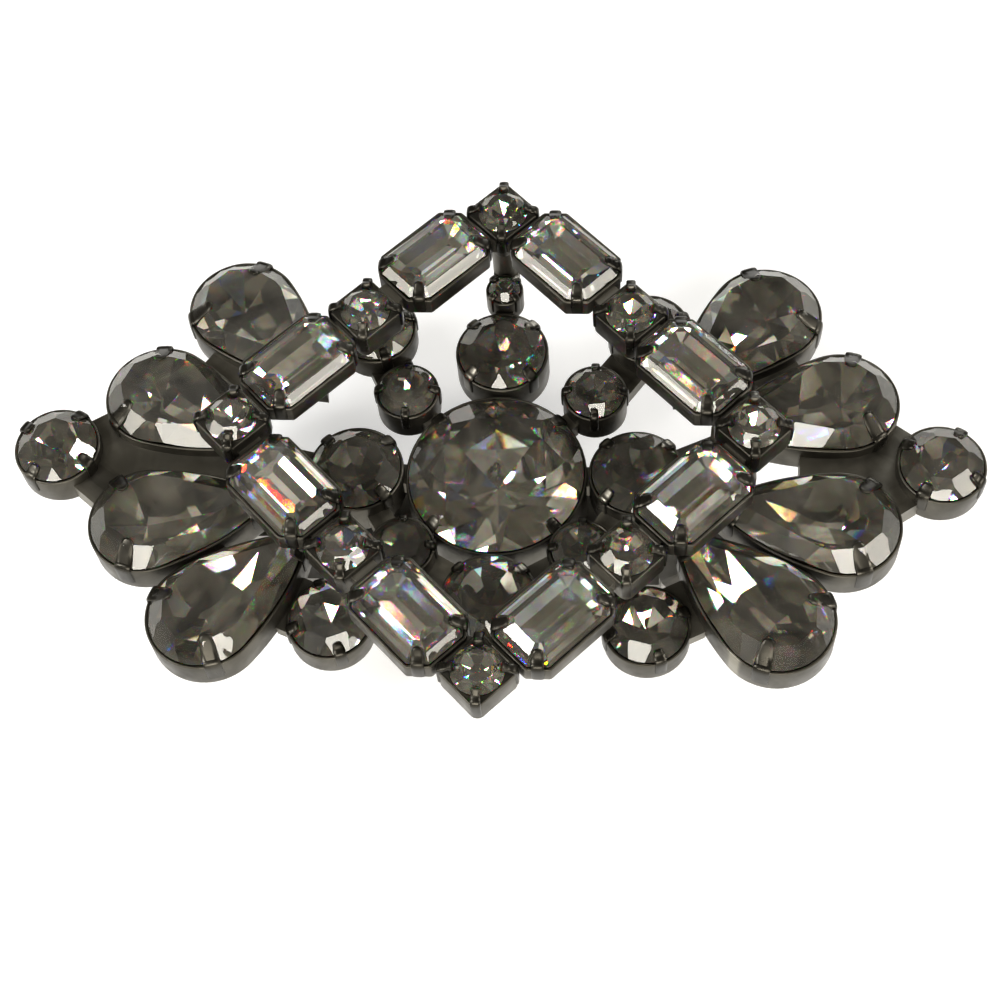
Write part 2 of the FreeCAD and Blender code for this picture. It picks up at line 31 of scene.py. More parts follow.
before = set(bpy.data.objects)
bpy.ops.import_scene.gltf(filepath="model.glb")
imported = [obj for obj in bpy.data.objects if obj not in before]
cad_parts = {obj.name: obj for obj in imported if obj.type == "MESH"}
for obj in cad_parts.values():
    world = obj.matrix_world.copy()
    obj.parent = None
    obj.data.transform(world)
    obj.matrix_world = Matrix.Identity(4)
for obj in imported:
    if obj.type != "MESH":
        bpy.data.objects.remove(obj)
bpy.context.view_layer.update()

MM = 0.001
WALL = 0.2                # thickness of a cup's wall
PLAY = 0.03               # gap between a stone and its cup
FLOOR = 0.35              # thickness of a cup's bottom
RIM = 0.08                # how far the wall stands above the girdle
GIRDLE = 0.1              # half the height of a stone's girdle
PRONG_THICK = 0.15        # half the thickness of a prong
PRONG_BEND = 0.34         # how far a prong bends inwards over the rim
RIM_STEPS = 6             # points on the round of a cup's foot and of its rim
SMOOTH_UNDER = 40         # degrees: flatter edges of a cup look round
LEAN = (0.3, 1.6)         # least and most that a stone leans in its cup, in degrees
PEAR_R, PEAR_REACH, PEAR_SIDE_R = 3.9, 9.1, 18.0
SQUARE_SIDE, SQUARE_CORNER_R, SQUARE_STONE_R, SQUARE_DEEP = 3.8, 0.6, 1.72, 2.1
BAR_LONG, BAR_WIDE, BAR_CUT, BAR_DEEP = 7.7, 5.3, 1.15, 1.5
PEAR_DEEP = 2.6
# slope of each step under a baguette, and the share of the depth it takes
KEEL_STEPS = ((40, 0.28), (30, 0.24), (21, 0.24), (13, 0.24))
GLASS, FOIL = 0, 1        # materials of a stone's faces
SHELL, PRONG = 0, 1       # materials of a cup's faces
chance = random.Random(7)


# ======================= places, read from the CAD nodes =======================

def solids_of(cad_node):
    """Corner points of each separate solid in a CAD node, in mm, from left to right."""
    bm = bmesh.new()
    bm.from_mesh(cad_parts[cad_node].data)
    bmesh.ops.remove_doubles(bm, verts=bm.verts, dist=1e-7)
    left = set(bm.verts)
    found = []
    while left:
        stack = [left.pop()]
        points = []
        while stack:
            v = stack.pop()
            points.append(v.co / MM)
            for e in v.link_edges:
                other = e.other_vert(v)
                if other in left:
                    left.remove(other)
                    stack.append(other)
        found.append(np.array(points))
    bm.free()
    return sorted(found, key=lambda p: (round(p[:, 0].mean(), 2), round(p[:, 1].mean(), 2)))


def girdle_of(points):
    """(x, y, girdle level) of a stone that is widest at its girdle."""
    edge_share = 0.995    # points this near the widest reach are on the girdle
    x, y = (points[:, :2].min(0) + points[:, :2].max(0)) / 2
    reach = np.hypot(points[:, 0] - x, points[:, 1] - y)
    edge = points[reach > reach.max() * edge_share]
    return x, y, (edge[:, 2].min() + edge[:, 2].max()) / 2


def pear_place(points):
    """(x, y, girdle level, turn) of a pear stone; x, y is the centre of its round end."""
    near = 0.05           # points within this distance of the tip give its level
    middle = points[:, :2].mean(0)
    tip = points[np.argmax(np.hypot(*(points[:, :2] - middle).T))]
    back = points[np.argmax(np.hypot(*(points[:, :2] - tip[:2]).T))]
    along = (tip - back)[:2]
    along = along / np.hypot(*along)
    x, y = back[:2] + along * (PEAR_R - WALL - PLAY)
    near_tip = points[np.hypot(*(points[:, :2] - tip[:2]).T) < near]
    level = (near_tip[:, 2].min() + near_tip[:, 2].max()) / 2
    return x, y, level, math.degrees(math.atan2(along[1], along[0]))


def placing(x, y, z, turn=0.0, lean=0.0, lean_way=0.0):
    """Matrix in mm that turns a piece about +Z, leans it a little and puts it at x, y, z."""
    axis = Vector((math.cos(lean_way), math.sin(lean_way), 0))
    return (Matrix.Translation((x, y, z)) @ Matrix.Rotation(math.radians(lean), 4, axis)
            @ Matrix.Rotation(math.radians(turn), 4, "Z"))


# ======================= outlines =======================
# An outline is a function of an inset: it gives the ring of (x, y) that lies that far inside.

def circle(radius, count):
    """Regular ring of count points."""
    def ring(inset):
        angles = [2 * math.pi * i / count for i in range(count)]
        return [((radius - inset) * math.cos(a), (radius - inset) * math.sin(a)) for a in angles]
    return ring


def pear(side_count, end_count):
    """Round end at the origin and point towards +X; the counts are sides on half the outline."""
    swing = PEAR_SIDE_R - PEAR_R
    top = 2 * PEAR_R * PEAR_SIDE_R - PEAR_R ** 2 - PEAR_REACH ** 2
    lean = math.acos(top / (2 * PEAR_REACH * swing))
    cx, cy = -swing * math.cos(lean), -swing * math.sin(lean)

    def ring(inset):
        r, side = PEAR_R - inset, PEAR_SIDE_R - inset
        tip_angle = math.asin(-cy / side)
        upper = []
        for i in range(side_count):
            a = tip_angle + (lean - tip_angle) * i / side_count
            upper.append((cx + side * math.cos(a), cy + side * math.sin(a)))
        for i in range(end_count):
            a = lean + (math.pi - lean) * i / end_count
            upper.append((r * math.cos(a), r * math.sin(a)))
        lower = [(x, -y) for x, y in upper[:0:-1]]
        return upper + [(-r, 0.0)] + lower
    return ring


def octagon(long, wide, cut):
    """Rectangle along X with cut corners, each corner of the octagon a little rounded."""
    least_cut = 0.12
    soft, corner_steps = 0.1, 3     # how far a corner is rounded, and its points

    def ring(inset):
        a, b = long / 2 - inset, wide / 2 - inset
        c = max(least_cut, cut - inset * (2 - math.sqrt(2)))
        corners = [(a, b - c), (a - c, b), (c - a, b), (-a, b - c),
                   (-a, c - b), (c - a, -b), (a - c, -b), (a, c - b)]
        points = []
        for i, (x, y) in enumerate(corners):
            before, after = Vector(corners[i - 1]), Vector(corners[(i + 1) % 8])
            here = Vector((x, y))
            start = here + (before - here).normalized() * soft
            end = here + (after - here).normalized() * soft
            for k in range(corner_steps):
                t = k / (corner_steps - 1)
                p = start * (1 - t) ** 2 + here * 2 * t * (1 - t) + end * t ** 2
                points.append((p.x, p.y))
        return points
    return ring


def soft_square(side, corner, steps):
    """Square with rounded corners, 4 * steps points that start on the first corner's arc."""
    least_corner = 0.05

    def ring(inset):
        half = side / 2 - inset
        r = max(least_corner, corner - inset)
        points = []
        for quarter in range(4):
            base = math.pi / 2 * quarter
            mid = Vector((math.cos(base + math.pi / 4), math.sin(base + math.pi / 4)))
            centre = mid * (half - r) * math.sqrt(2)
            for k in range(steps):
                a = base + math.pi / 2 * k / (steps - 1)
                points.append((centre.x + r * math.cos(a), centre.y + r * math.sin(a)))
        return points
    return ring


# ======================= meshes =======================

class Shape:
    """Points and faces of one piece, each face with the number of its material."""

    def __init__(self):
        self.points = []
        self.faces = []
        self.kinds = []

    def add_skin(self, rings):
        """Adds the closed surface over rings that have the same number of points."""
        count, start = len(rings[0]), len(self.points)
        self.points += [Vector(p) for ring in rings for p in ring]
        faces = []
        for level in range(len(rings) - 1):
            for i in range(count):
                j = (i + 1) % count
                a, b = level * count, (level + 1) * count
                faces.append([a + i, a + j, b + j, b + i])
        faces.append(list(range(count))[::-1])
        faces.append([(len(rings) - 1) * count + i for i in range(count)])
        self.faces += [[start + i for i in face] for face in faces]
        self.kinds += [SHELL] * len(faces)

    def add_shape(self, other, matrix, kind=None):
        """Adds another shape, moved by matrix; kind, if given, is the material of all its faces."""
        start = len(self.points)
        self.points += [matrix @ p for p in other.points]
        self.faces += [[start + i for i in face] for face in other.faces]
        self.kinds += other.kinds if kind is None else [kind] * len(other.faces)

    def to_object(self, name, materials, smooth_angle=None):
        """Makes the piece, flat shaded unless edges flatter than smooth_angle are to look round."""
        mesh = bpy.data.meshes.new(name)
        mesh.from_pydata([p * MM for p in self.points], [], self.faces)
        for material in materials:
            mesh.materials.append(material)
        mesh.polygons.foreach_set("material_index", self.kinds)
        bm = bmesh.new()
        bm.from_mesh(mesh)
        bmesh.ops.recalc_face_normals(bm, faces=bm.faces)
        bm.to_mesh(mesh)
        bm.free()
        if smooth_angle is not None:
            mesh.shade_smooth()
            mesh.set_sharp_from_angle(angle=math.radians(smooth_angle))
        mesh.update()
        made = bpy.data.objects.new(name, mesh)
        bpy.context.scene.collection.objects.link(made)
        return made


def clip(polygon, normal, limit):
    """The part of a polygon where normal . p <= limit."""
    kept = []
    for i, p in enumerate(polygon):
        q = polygon[(i + 1) % len(polygon)]
        dp, dq = p.dot(normal) - limit, q.dot(normal) - limit
        if dp <= 0:
            kept.append(p)
        if dp * dq < 0:
            kept.append(p + (q - p) * (dp / (dp - dq)))
    return kept


def cut_stone(planes):
    """Closed faceted solid inside all the planes (normal, limit). Faces that look up are bare glass,
    the rest carry foil."""
    far = 40              # half the side of the square that each face is clipped from
    least_up = 0.05       # a face whose normal rises more than this is bare
    unique = {}
    shape = Shape()
    for k, (normal, limit) in enumerate(planes):
        side = normal.orthogonal().normalized()
        other = normal.cross(side)
        centre = normal * limit
        corners = ((far, far), (-far, far), (-far, -far), (far, -far))
        polygon = [centre + side * a + other * b for a, b in corners]
        for m, (n2, limit2) in enumerate(planes):
            if m != k:
                polygon = clip(polygon, n2, limit2)
            if len(polygon) < 3:
                break
        face = []
        for p in polygon:
            key = (round(p.x, 3), round(p.y, 3), round(p.z, 3))
            if key not in unique:
                unique[key] = len(shape.points)
                shape.points.append(p)
            if unique[key] not in face:
                face.append(unique[key])
        if len(face) > 2:
            shape.faces.append(face)
            shape.kinds.append(GLASS if normal.z > least_up else FOIL)
    return shape


def facet(azimuth, slope, reach, level):
    """Plane of a facet: it leans by slope from flat, faces azimuth (degrees) and passes through
    the point that is reach out from the axis at height level. A negative slope faces down."""
    a, s = math.radians(azimuth), math.radians(abs(slope))
    up = 1 if slope > 0 else -1
    normal = Vector((math.sin(s) * math.cos(a), math.sin(s) * math.sin(a), up * math.cos(s)))
    return normal, normal.x * reach * math.cos(a) + normal.y * reach * math.sin(a) + normal.z * level


def support(ring, azimuth):
    """How far an outline reaches in a direction."""
    a = math.radians(azimuth)
    return max(x * math.cos(a) + y * math.sin(a) for x, y in ring)


def outline_planes(ring):
    """Upright planes on the sides of a ring, leaving out sides too short to matter."""
    least_side = 0.005
    planes = []
    for i, (x, y) in enumerate(ring):
        x2, y2 = ring[(i + 1) % len(ring)]
        normal = Vector((y2 - y, x - x2, 0))
        if normal.length > least_side:
            normal.normalize()
            planes.append((normal, normal.x * x + normal.y * y))
    return planes


def brilliant(radius, crown, table_inset, depth):
    """Round stone: table, star, main and girdle facets above, main and girdle facets below."""
    folds, sides, girdle = 8, 48, GIRDLE
    star_share = 0.58           # slope of the star facets, as a share of the main facets'
    upper, lower = 7, 2.5       # degrees that the girdle facets are steeper than the main ones
    half = 180 / folds
    slope = math.degrees(math.atan2(crown - girdle, table_inset))
    table_r = radius - table_inset
    planes = outline_planes(circle(radius, sides)(0))
    planes.append((Vector((0, 0, 1)), crown))
    pavilion = math.degrees(math.atan2(depth, radius))
    for i in range(folds):
        main = i * 2 * half
        planes.append(facet(main, slope, radius, girdle))
        star_reach = table_r * math.cos(math.radians(half))
        planes.append(facet(main + half, slope * star_share, star_reach, crown))
        planes.append(facet(main, -pavilion, radius, -girdle))
        for offset in (-half / 2, half / 2):
            planes.append(facet(main + offset, slope + upper, radius, girdle))
            planes.append(facet(main + half + offset, -pavilion - lower, radius, -girdle))
    return cut_stone(planes)


def chaton(radius, crown, table_inset, depth, girdle=GIRDLE, sides=40):
    """Simple round stone: a wide table with two rows of facets round it, two rows below."""
    folds = 8
    upper, lower = 6, 3         # degrees that the second row above and below is steeper
    half = 180 / folds
    slope = math.degrees(math.atan2(crown - girdle, table_inset))
    planes = outline_planes(circle(radius, sides)(0))
    planes.append((Vector((0, 0, 1)), crown))
    pavilion = math.degrees(math.atan2(depth, radius))
    for i in range(folds):
        main = i * 2 * half
        planes.append(facet(main, slope, radius, girdle))
        planes.append(facet(main + half, slope + upper, radius, girdle))
        planes.append(facet(main + half, -pavilion, radius, -girdle))
        planes.append(facet(main, -pavilion - lower, radius, -girdle))
    return cut_stone(planes)


def pear_stone(crown, table_inset, depth):
    """Pear stone: table, main and girdle facets above, two rows of facets below."""
    girdle = GIRDLE
    upper, lower = 7, 4         # degrees that the second row above and below is steeper
    ring = pear(14, 16)(WALL + PLAY)
    slope = math.degrees(math.atan2(crown - girdle, table_inset))
    below = math.degrees(math.atan2(depth, PEAR_R - WALL - PLAY))
    planes = outline_planes(ring)
    planes.append((Vector((0, 0, 1)), crown))
    for azimuth in (66, 103, 141, 180, -141, -103, -66):
        planes.append(facet(azimuth, slope, support(ring, azimuth), girdle))
    for azimuth in (52, 84, 122, 160, -160, -122, -84, -52):
        planes.append(facet(azimuth, slope + upper, support(ring, azimuth), girdle))
        planes.append(facet(azimuth, -below, support(ring, azimuth), -girdle))
    for azimuth in (70, 104, 141, 180, -141, -104, -70):
        planes.append(facet(azimuth, -below - lower, support(ring, azimuth), -girdle))
    return cut_stone(planes)


def step_cut(long, wide, cut, crown, table_inset, depth):
    """Octagon stone with two steps above and four below, and a flat bottom."""
    girdle = 0.12
    steeper, flatter = 9, 8     # degrees that the two upper steps differ from the mean slope
    ring = octagon(long, wide, cut)(0)
    planes = outline_planes(ring)
    planes.append((Vector((0, 0, 1)), crown))
    slope = math.degrees(math.atan2(crown - girdle, table_inset))
    for azimuth in range(0, 360, 45):
        reach = support(ring, azimuth)
        planes.append(facet(azimuth, slope + steeper, reach, girdle))
        planes.append(facet(azimuth, slope - flatter, reach - table_inset, crown))
        inset = drop = 0.0
        for slant, share in KEEL_STEPS:
            planes.append(facet(azimuth, -slant, reach - inset, -girdle - drop))
            drop += share * depth
            inset += share * depth / math.tan(math.radians(slant))
    planes.append((Vector((0, 0, -1)), depth))
    return cut_stone(planes)


# ======================= cups =======================

def cup_shell(outline, deep, foot=0.45, hole=None):
    """Drawn cup: flat bottom, rounded foot, thin wall with a rounded rim, open above.
    hole, if given, is the ring of the stone's seat when it isn't the outline's own inset."""
    border = 0.75         # bottom ring between the foot's round and the flat middle
    profile = [(border + foot, -deep)]
    for k in range(RIM_STEPS + 1):
        a = math.pi / 2 * k / RIM_STEPS
        profile.append((foot * (1 - math.sin(a)), -deep + foot * (1 - math.cos(a))))
    lip = WALL / 2
    profile += [(0.0, -deep * 0.45), (0.0, RIM - lip)]
    inner = [] if hole else [(WALL, RIM - lip), (WALL, -0.5), (WALL, FLOOR - deep)]
    for k in range(1, RIM_STEPS):
        a = math.pi * k / RIM_STEPS
        profile.append((lip * (1 - math.cos(a)), RIM - lip + lip * math.sin(a)))
    rings = [[(x, y, z) for x, y in outline(inset)] for inset, z in profile + inner]
    if hole:
        for z in (RIM - 0.05, RIM - 0.2, FLOOR - deep):
            rings.append([(x, y, z) for x, y in hole])
    shape = Shape()
    shape.add_skin(rings)
    return shape


def tongue(path, half_widths, half_thicks, sides=14):
    """Bent metal tongue in the XZ plane: path of (x, z), each with its half width and half thickness."""
    rings = []
    for i, (x, z) in enumerate(path):
        x0, z0 = path[max(0, i - 1)]
        x1, z1 = path[min(len(path) - 1, i + 1)]
        length = math.hypot(x1 - x0, z1 - z0)
        nx, nz = (z1 - z0) / length, -(x1 - x0) / length
        ring = []
        for k in range(sides):
            a = 2 * math.pi * k / sides
            c, s = math.cos(a), math.sin(a)
            across = half_widths[i] * math.copysign(abs(c) ** 0.6, c)
            out = half_thicks[i] * math.copysign(abs(s) ** 0.75, s)
            ring.append((x + nx * out, across, z + nz * out))
        rings.append(ring)
    shape = Shape()
    shape.add_skin(rings)
    return shape


def prong(outer, wide, rise, reach, slope, bead=0.0):
    """Tongue at radius outer on +X: up the wall, over the stone's edge and in along its crown.
    It ends in a round bead when bead, its radius, is given."""
    thick = PRONG_THICK
    lift = PLAY + 0.16              # sets the level where it starts to bend
    mid = outer - WALL / 2 + 0.06   # its middle line, a little proud of the wall
    path = [(mid, -rise), (mid + 0.015, -rise * 0.6), (mid + 0.02, -0.15), (mid, lift * 0.6)]
    steps = 5
    for k in range(1, steps + 1):
        a = math.pi / 2 * k / steps
        path.append((mid - PRONG_BEND * (1 - math.cos(a)), lift * 0.6 + PRONG_BEND * 0.8 * math.sin(a)))
    x0, z0 = path[-1]
    end = outer - WALL - reach
    for share in (0.4, 0.7, 0.88, 0.96, 1.0):
        x = x0 + (end - x0) * share
        path.append((x, z0 + (x0 - x) * slope * 0.9))
    flat = len(path) - 5
    widths = [wide / 2] * flat + [wide * 0.46, wide * 0.42, wide * 0.34, wide * 0.22, wide * 0.06]
    thicks = [thick] * flat + [thick, thick * 0.95, thick * 0.85, thick * 0.65, thick * 0.2]
    if bead:
        widths[-5:] = [wide * 0.42, bead, bead * 0.95, bead * 0.65, bead * 0.12]
        thicks[-5:] = [thick, bead * 0.85, bead * 0.85, bead * 0.6, bead * 0.12]
    return tongue(path, widths, thicks)


def cup_with_prongs(shell, tongues):
    """The shell with its prongs added, in the cup's second material."""
    for piece, matrix in tongues:
        shell.add_shape(piece, matrix, PRONG)
    return shell


def round_cup(radius, deep, prong_wide, reach, slope, first):
    """Round cup with four prongs, the first of them at angle first."""
    count, sides = 4, 56
    piece = prong(radius, prong_wide, min(1.2, deep * 0.5), reach, slope)
    around = [(piece, placing(0, 0, 0, first + 360 * i / count)) for i in range(count)]
    return cup_with_prongs(cup_shell(circle(radius, sides), deep), around)


def pear_cup(deep):
    """Two wide prongs on the round end and two small ones near the point."""
    outline = pear(18, 20)
    ring = outline(0)
    tongues = []
    piece = prong(PEAR_R, 1.15, 1.5, 1.6, 0.85)
    for side in (-1, 1):
        tongues.append((piece, placing(0, 0, 0, 180 + side * 63)))
    small = prong(PEAR_R, 0.8, 1.2, 0.7, 0.95)
    back = Matrix.Translation((-PEAR_R, 0, 0))
    at = 4                # which side of the outline holds the small prongs
    for side in (1, -1):
        (x, y), (x2, y2) = ring[at], ring[at + 1]
        heading = math.degrees(math.atan2(-(x2 - x), y2 - y))
        tongues.append((small, placing(x, side * y, 0, side * heading) @ back))
    return cup_with_prongs(cup_shell(outline, deep), tongues)


def baguette_cup(long, wide, cut, deep):
    """One prong on each cut corner."""
    piece = prong(wide / 2, 0.85, 1.1, 0.9, 0.85)
    back = Matrix.Translation((-wide / 2, 0, 0))
    tongues = []
    for sx in (-1, 1):
        for sy in (-1, 1):
            x, y = sx * (long - cut) / 2, sy * (wide - cut) / 2
            tongues.append((piece, placing(x, y, 0, math.degrees(math.atan2(sy, sx))) @ back))
    return cup_with_prongs(cup_shell(octagon(long, wide, cut), deep, 0.3), tongues)


def square_cup(side, corner, stone_r, deep):
    """Square outside, round seat inside, a beaded prong on each corner."""
    steps = 12
    seat = []
    for quarter in range(4):
        for k in range(steps):
            a = math.pi / 2 * (quarter + (k + 0.5) / steps)
            seat.append(((stone_r + PLAY) * math.cos(a), (stone_r + PLAY) * math.sin(a)))
    shell = cup_shell(soft_square(side, corner, steps), deep, 0.3, seat)
    reach = side / 2 * math.sqrt(2) - corner * (math.sqrt(2) - 1)
    piece = prong(reach, 0.66, 1.3, reach - WALL - stone_r + 0.3, 0.5, 0.36)
    return cup_with_prongs(shell, [(piece, placing(0, 0, 0, 45 + 90 * i)) for i in range(4)])


# ======================= materials =======================

def new_material(name):
    """A material with an empty node tree, and that tree."""
    material = bpy.data.materials.new(name)
    material.use_nodes = True
    material.node_tree.nodes.clear()
    return material, material.node_tree


def node(tree, kind, inputs=None, **settings):
    """New node; inputs are linked when they come from a socket and set when they are values."""
    made = tree.nodes.new(kind)
    for key, value in settings.items():
        setattr(made, key, value)
    for socket, value in (inputs or {}).items():
        if isinstance(value, bpy.types.NodeSocket):
            tree.links.new(value, made.inputs[socket])
        else:
            made.inputs[socket].default_value = value
    return made


def finish_material(tree, shader):
    node(tree, "ShaderNodeOutputMaterial", {"Surface": shader})


def pattern(tree, scale, detail, distortion=0.0, stretch=None):
    """Noise value in object space; scale is in waves per metre."""
    where = node(tree, "ShaderNodeTexCoord").outputs["Object"]
    if stretch:
        where = node(tree, "ShaderNodeMapping", {"Vector": where, "Scale": stretch}).outputs["Vector"]
    noise = node(tree, "ShaderNodeTexNoise", {"Vector": where, "Scale": scale, "Detail": detail,
                                              "Distortion": distortion})
    return noise.outputs["Fac"]


def rescaled(tree, value, low, high, to_low, to_high):
    """A value carried from one range to another and kept inside it."""
    return node(tree, "ShaderNodeMapRange", {"Value": value, "From Min": low, "From Max": high,
                                             "To Min": to_low, "To Max": to_high}).outputs["Result"]


def ramp(tree, value, stops):
    """Colour ramp; stops are (position, colour)."""
    made = node(tree, "ShaderNodeValToRGB", {"Fac": value})
    band = made.color_ramp
    while len(band.elements) < len(stops):
        band.elements.new(0.5)
    for element, (position, colour) in zip(band.elements, stops):
        element.position = position
        element.color = (*colour, 1)
    return made.outputs["Color"]


def mixed(tree, share, first, second):
    """Colour that goes from first to second as share goes from 0 to 1."""
    made = node(tree, "ShaderNodeMix", data_type="RGBA")
    for socket, value in ((0, share), (6, first), (7, second)):
        if isinstance(value, bpy.types.NodeSocket):
            tree.links.new(value, made.inputs[socket])
        elif socket == 0:
            made.inputs[0].default_value = value
        else:
            made.inputs[socket].default_value = (*value, 1)
    return made.outputs[2]


def bump(tree, height, strength, distance):
    return node(tree, "ShaderNodeBump", {"Height": height, "Strength": strength,
                                         "Distance": distance}).outputs["Normal"]


def glass_material():
    """Clear pressed glass: colours part a little where light leaves it, which gives the fire."""
    material, tree = new_material("clear_glass")
    rough = rescaled(tree, pattern(tree, 420, 4), 0.45, 0.75, 0.0, 0.05)
    wave = bump(tree, pattern(tree, 260, 2), 0.05, 0.0004)
    tint = mixed(tree, pattern(tree, 180, 2), (0.97, 0.96, 0.93), (0.9, 0.9, 0.86))
    going_in = node(tree, "ShaderNodeBsdfGlass", {"Color": tint, "IOR": 1.58, "Roughness": rough,
                                                  "Normal": wave}).outputs["BSDF"]
    going_out = None
    for colour, ior in (((1, 0, 0, 1), 1.568), ((0, 1, 0, 1), 1.58), ((0, 0, 1, 1), 1.595)):
        part = node(tree, "ShaderNodeBsdfGlass", {"Color": colour, "IOR": ior, "Roughness": 0.0,
                                                  "Normal": wave}).outputs["BSDF"]
        if going_out:
            part = node(tree, "ShaderNodeAddShader", {0: going_out, 1: part}).outputs["Shader"]
        going_out = part
    inside = node(tree, "ShaderNodeNewGeometry").outputs["Backfacing"]
    film = node(tree, "ShaderNodeBsdfDiffuse", {"Color": (0.62, 0.58, 0.48, 1)}).outputs["BSDF"]
    share = rescaled(tree, pattern(tree, 300, 5, 1.0), 0.3, 0.75, 0.015, 0.09)
    outside = node(tree, "ShaderNodeMixShader", {"Fac": share, 1: going_in, 2: film}).outputs["Shader"]
    both = node(tree, "ShaderNodeMixShader", {"Fac": inside, 1: outside, 2: going_out})
    finish_material(tree, both.outputs["Shader"])
    return material


def foil_material(name, dark, mid, bright):
    """Silver foil behind a stone, browned in patches with age and duller where it is brown."""
    material, tree = new_material(name)
    blotch = pattern(tree, 330, 4, 0.6)
    colour = ramp(tree, blotch, [(0.3, dark), (0.48, mid), (0.7, bright)])
    rough = rescaled(tree, blotch, 0.3, 0.6, 0.12, 0.02)
    shader = node(tree, "ShaderNodeBsdfPrincipled", {"Base Color": colour, "Metallic": 1.0,
                                                     "Roughness": rough})
    finish_material(tree, shader.outputs["BSDF"])
    return material


def metal_material(name, colours, rough_low, rough_high, grain=900, depth=0.00002, stretch=None):
    """Plated metal: uneven tarnish, lighter where edges are rubbed, a fine grain in its gloss."""
    dark, mid, bright = colours
    material, tree = new_material(name)
    cloud = pattern(tree, 240, 5, 0.8)
    speck = pattern(tree, grain, 3, stretch=stretch)
    colour = ramp(tree, cloud, [(0.32, dark), (0.55, mid), (0.78, bright)])
    edge = node(tree, "ShaderNodeNewGeometry").outputs["Pointiness"]
    rubbed = rescaled(tree, edge, 0.58, 0.75, 0.0, 1.0)
    colour = mixed(tree, rubbed, colour, tuple(min(1, 1.9 * c) for c in bright))
    gloss = rescaled(tree, speck, 0.3, 0.7, rough_low, rough_high)
    normal = bump(tree, speck, 0.35, depth)
    shader = node(tree, "ShaderNodeBsdfPrincipled", {"Base Color": colour, "Metallic": 0.92,
                                                     "Roughness": gloss, "Normal": normal})
    finish_material(tree, shader.outputs["BSDF"])
    return material


def floor_material():
    """Pale matt ground that glows a little, so that shadows on it stay faint."""
    material, tree = new_material("pale_floor")
    colour = mixed(tree, pattern(tree, 30, 2), (0.86, 0.86, 0.855), (0.88, 0.88, 0.875))
    shader = node(tree, "ShaderNodeBsdfPrincipled", {"Base Color": colour, "Roughness": 0.9,
                                                     "Specular IOR Level": 0.1, "Emission Color": colour,
                                                     "Emission Strength": 0.35})
    finish_material(tree, shader.outputs["BSDF"])
    return material


TARNISH = ((0.042, 0.039, 0.030), (0.078, 0.072, 0.058), (0.13, 0.122, 0.10))
# painted shade: the prongs are the cups' own metal, and these darker copies of its colours paint them as
# shaded
PRONG_PAINTED_SHADE = ((0.019, 0.0175, 0.0135), (0.038, 0.035, 0.028), (0.068, 0.063, 0.051))
BARE_STEEL = ((0.11, 0.105, 0.095), (0.2, 0.195, 0.18), (0.32, 0.31, 0.29))
CLEAR = glass_material()
AGED_FOIL = foil_material("aged_foil", (0.2, 0.18, 0.135), (0.44, 0.415, 0.35), (0.68, 0.67, 0.62))
DULL_FOIL = foil_material("dull_foil", (0.13, 0.115, 0.085), (0.30, 0.28, 0.225), (0.52, 0.50, 0.45))
BRIGHT_FOIL = foil_material("bright_foil", (0.40, 0.38, 0.32), (0.64, 0.62, 0.56), (0.80, 0.79, 0.75))
CUP = [metal_material("tarnished_cup", TARNISH, 0.32, 0.5),
       # painted shade: the prongs' material is darker than the cups' to show shade on them
       metal_material("dark_prong", PRONG_PAINTED_SHADE, 0.24, 0.4)]
SOLDER = metal_material("grey_solder", TARNISH, 0.36, 0.55, 420, 0.00016)
STEEL = metal_material("clasp_steel", BARE_STEEL, 0.28, 0.45, 1500, stretch=(0.06, 1, 1))


# ======================= settings =======================

def settle(name, shape, materials, smooth_angle=None):
    """Makes a piece of the ornament with the given materials."""
    made = shape.to_object(name, materials, smooth_angle)
    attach(made, "ornament")
    return made


def setting(stones_node, cups_node, stone, cup, places, foil=AGED_FOIL, free_turn=False):
    """One piece for the stones and one for the cups of a pair of CAD nodes. Each stone leans a little
    in its cup, and a round one may sit at any turn."""
    stones, cups = Shape(), Shape()
    for x, y, z, turn in places:
        own_turn = chance.uniform(0, 360) if free_turn else turn
        lean, way = chance.uniform(*LEAN), chance.uniform(0, 2 * math.pi)
        stones.add_shape(stone, placing(x, y, z, own_turn, lean, way))
        cups.add_shape(cup, placing(x, y, z, turn))
    gem = settle("gem_" + stones_node, stones, [CLEAR, foil])
    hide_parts(stones_node)
    metal = settle("metal_" + cups_node, cups, CUP, SMOOTH_UNDER)
    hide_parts(cups_node)


def places_of(cad_node, turn=0):
    """(x, y, girdle level, turn) of each stone of a CAD node, other than pears."""
    return [(*girdle_of(points), turn) for points in solids_of(cad_node)]


# stones, cups: cup radius, cup depth, crown height, table inset, prong width, prong reach, first prong
ROUNDS = {
    ("centre_stone", "centre_cup"): (6.25, 5.0, 1.9, 2.3, 1.0, 0.75, 45),
    ("inner_round_stones", "inner_round_cups"): (3.3, 3.0, 1.1, 1.2, 0.85, 0.7, 45),
    ("accent_stones", "accent_cups"): (2.25, 2.6, 0.8, 0.7, 0.6, 0.45, 0),
    ("bead_stones", "bead_cups"): (1.35, 2.2, 0.6, 0.5, 0.5, 0.35, 45),
    ("outer_round_stones", "outer_round_cups"): (2.9, 2.2, 1.0, 1.0, 0.8, 0.6, 20),
    ("tip_stone_left", "tip_cup_left"): (2.98, 2.6, 1.1, 1.2, 0.9, 0.7, 60),
    ("tip_stone_right", "tip_cup_right"): (2.98, 2.6, 1.1, 1.2, 0.9, 0.7, 60),
}
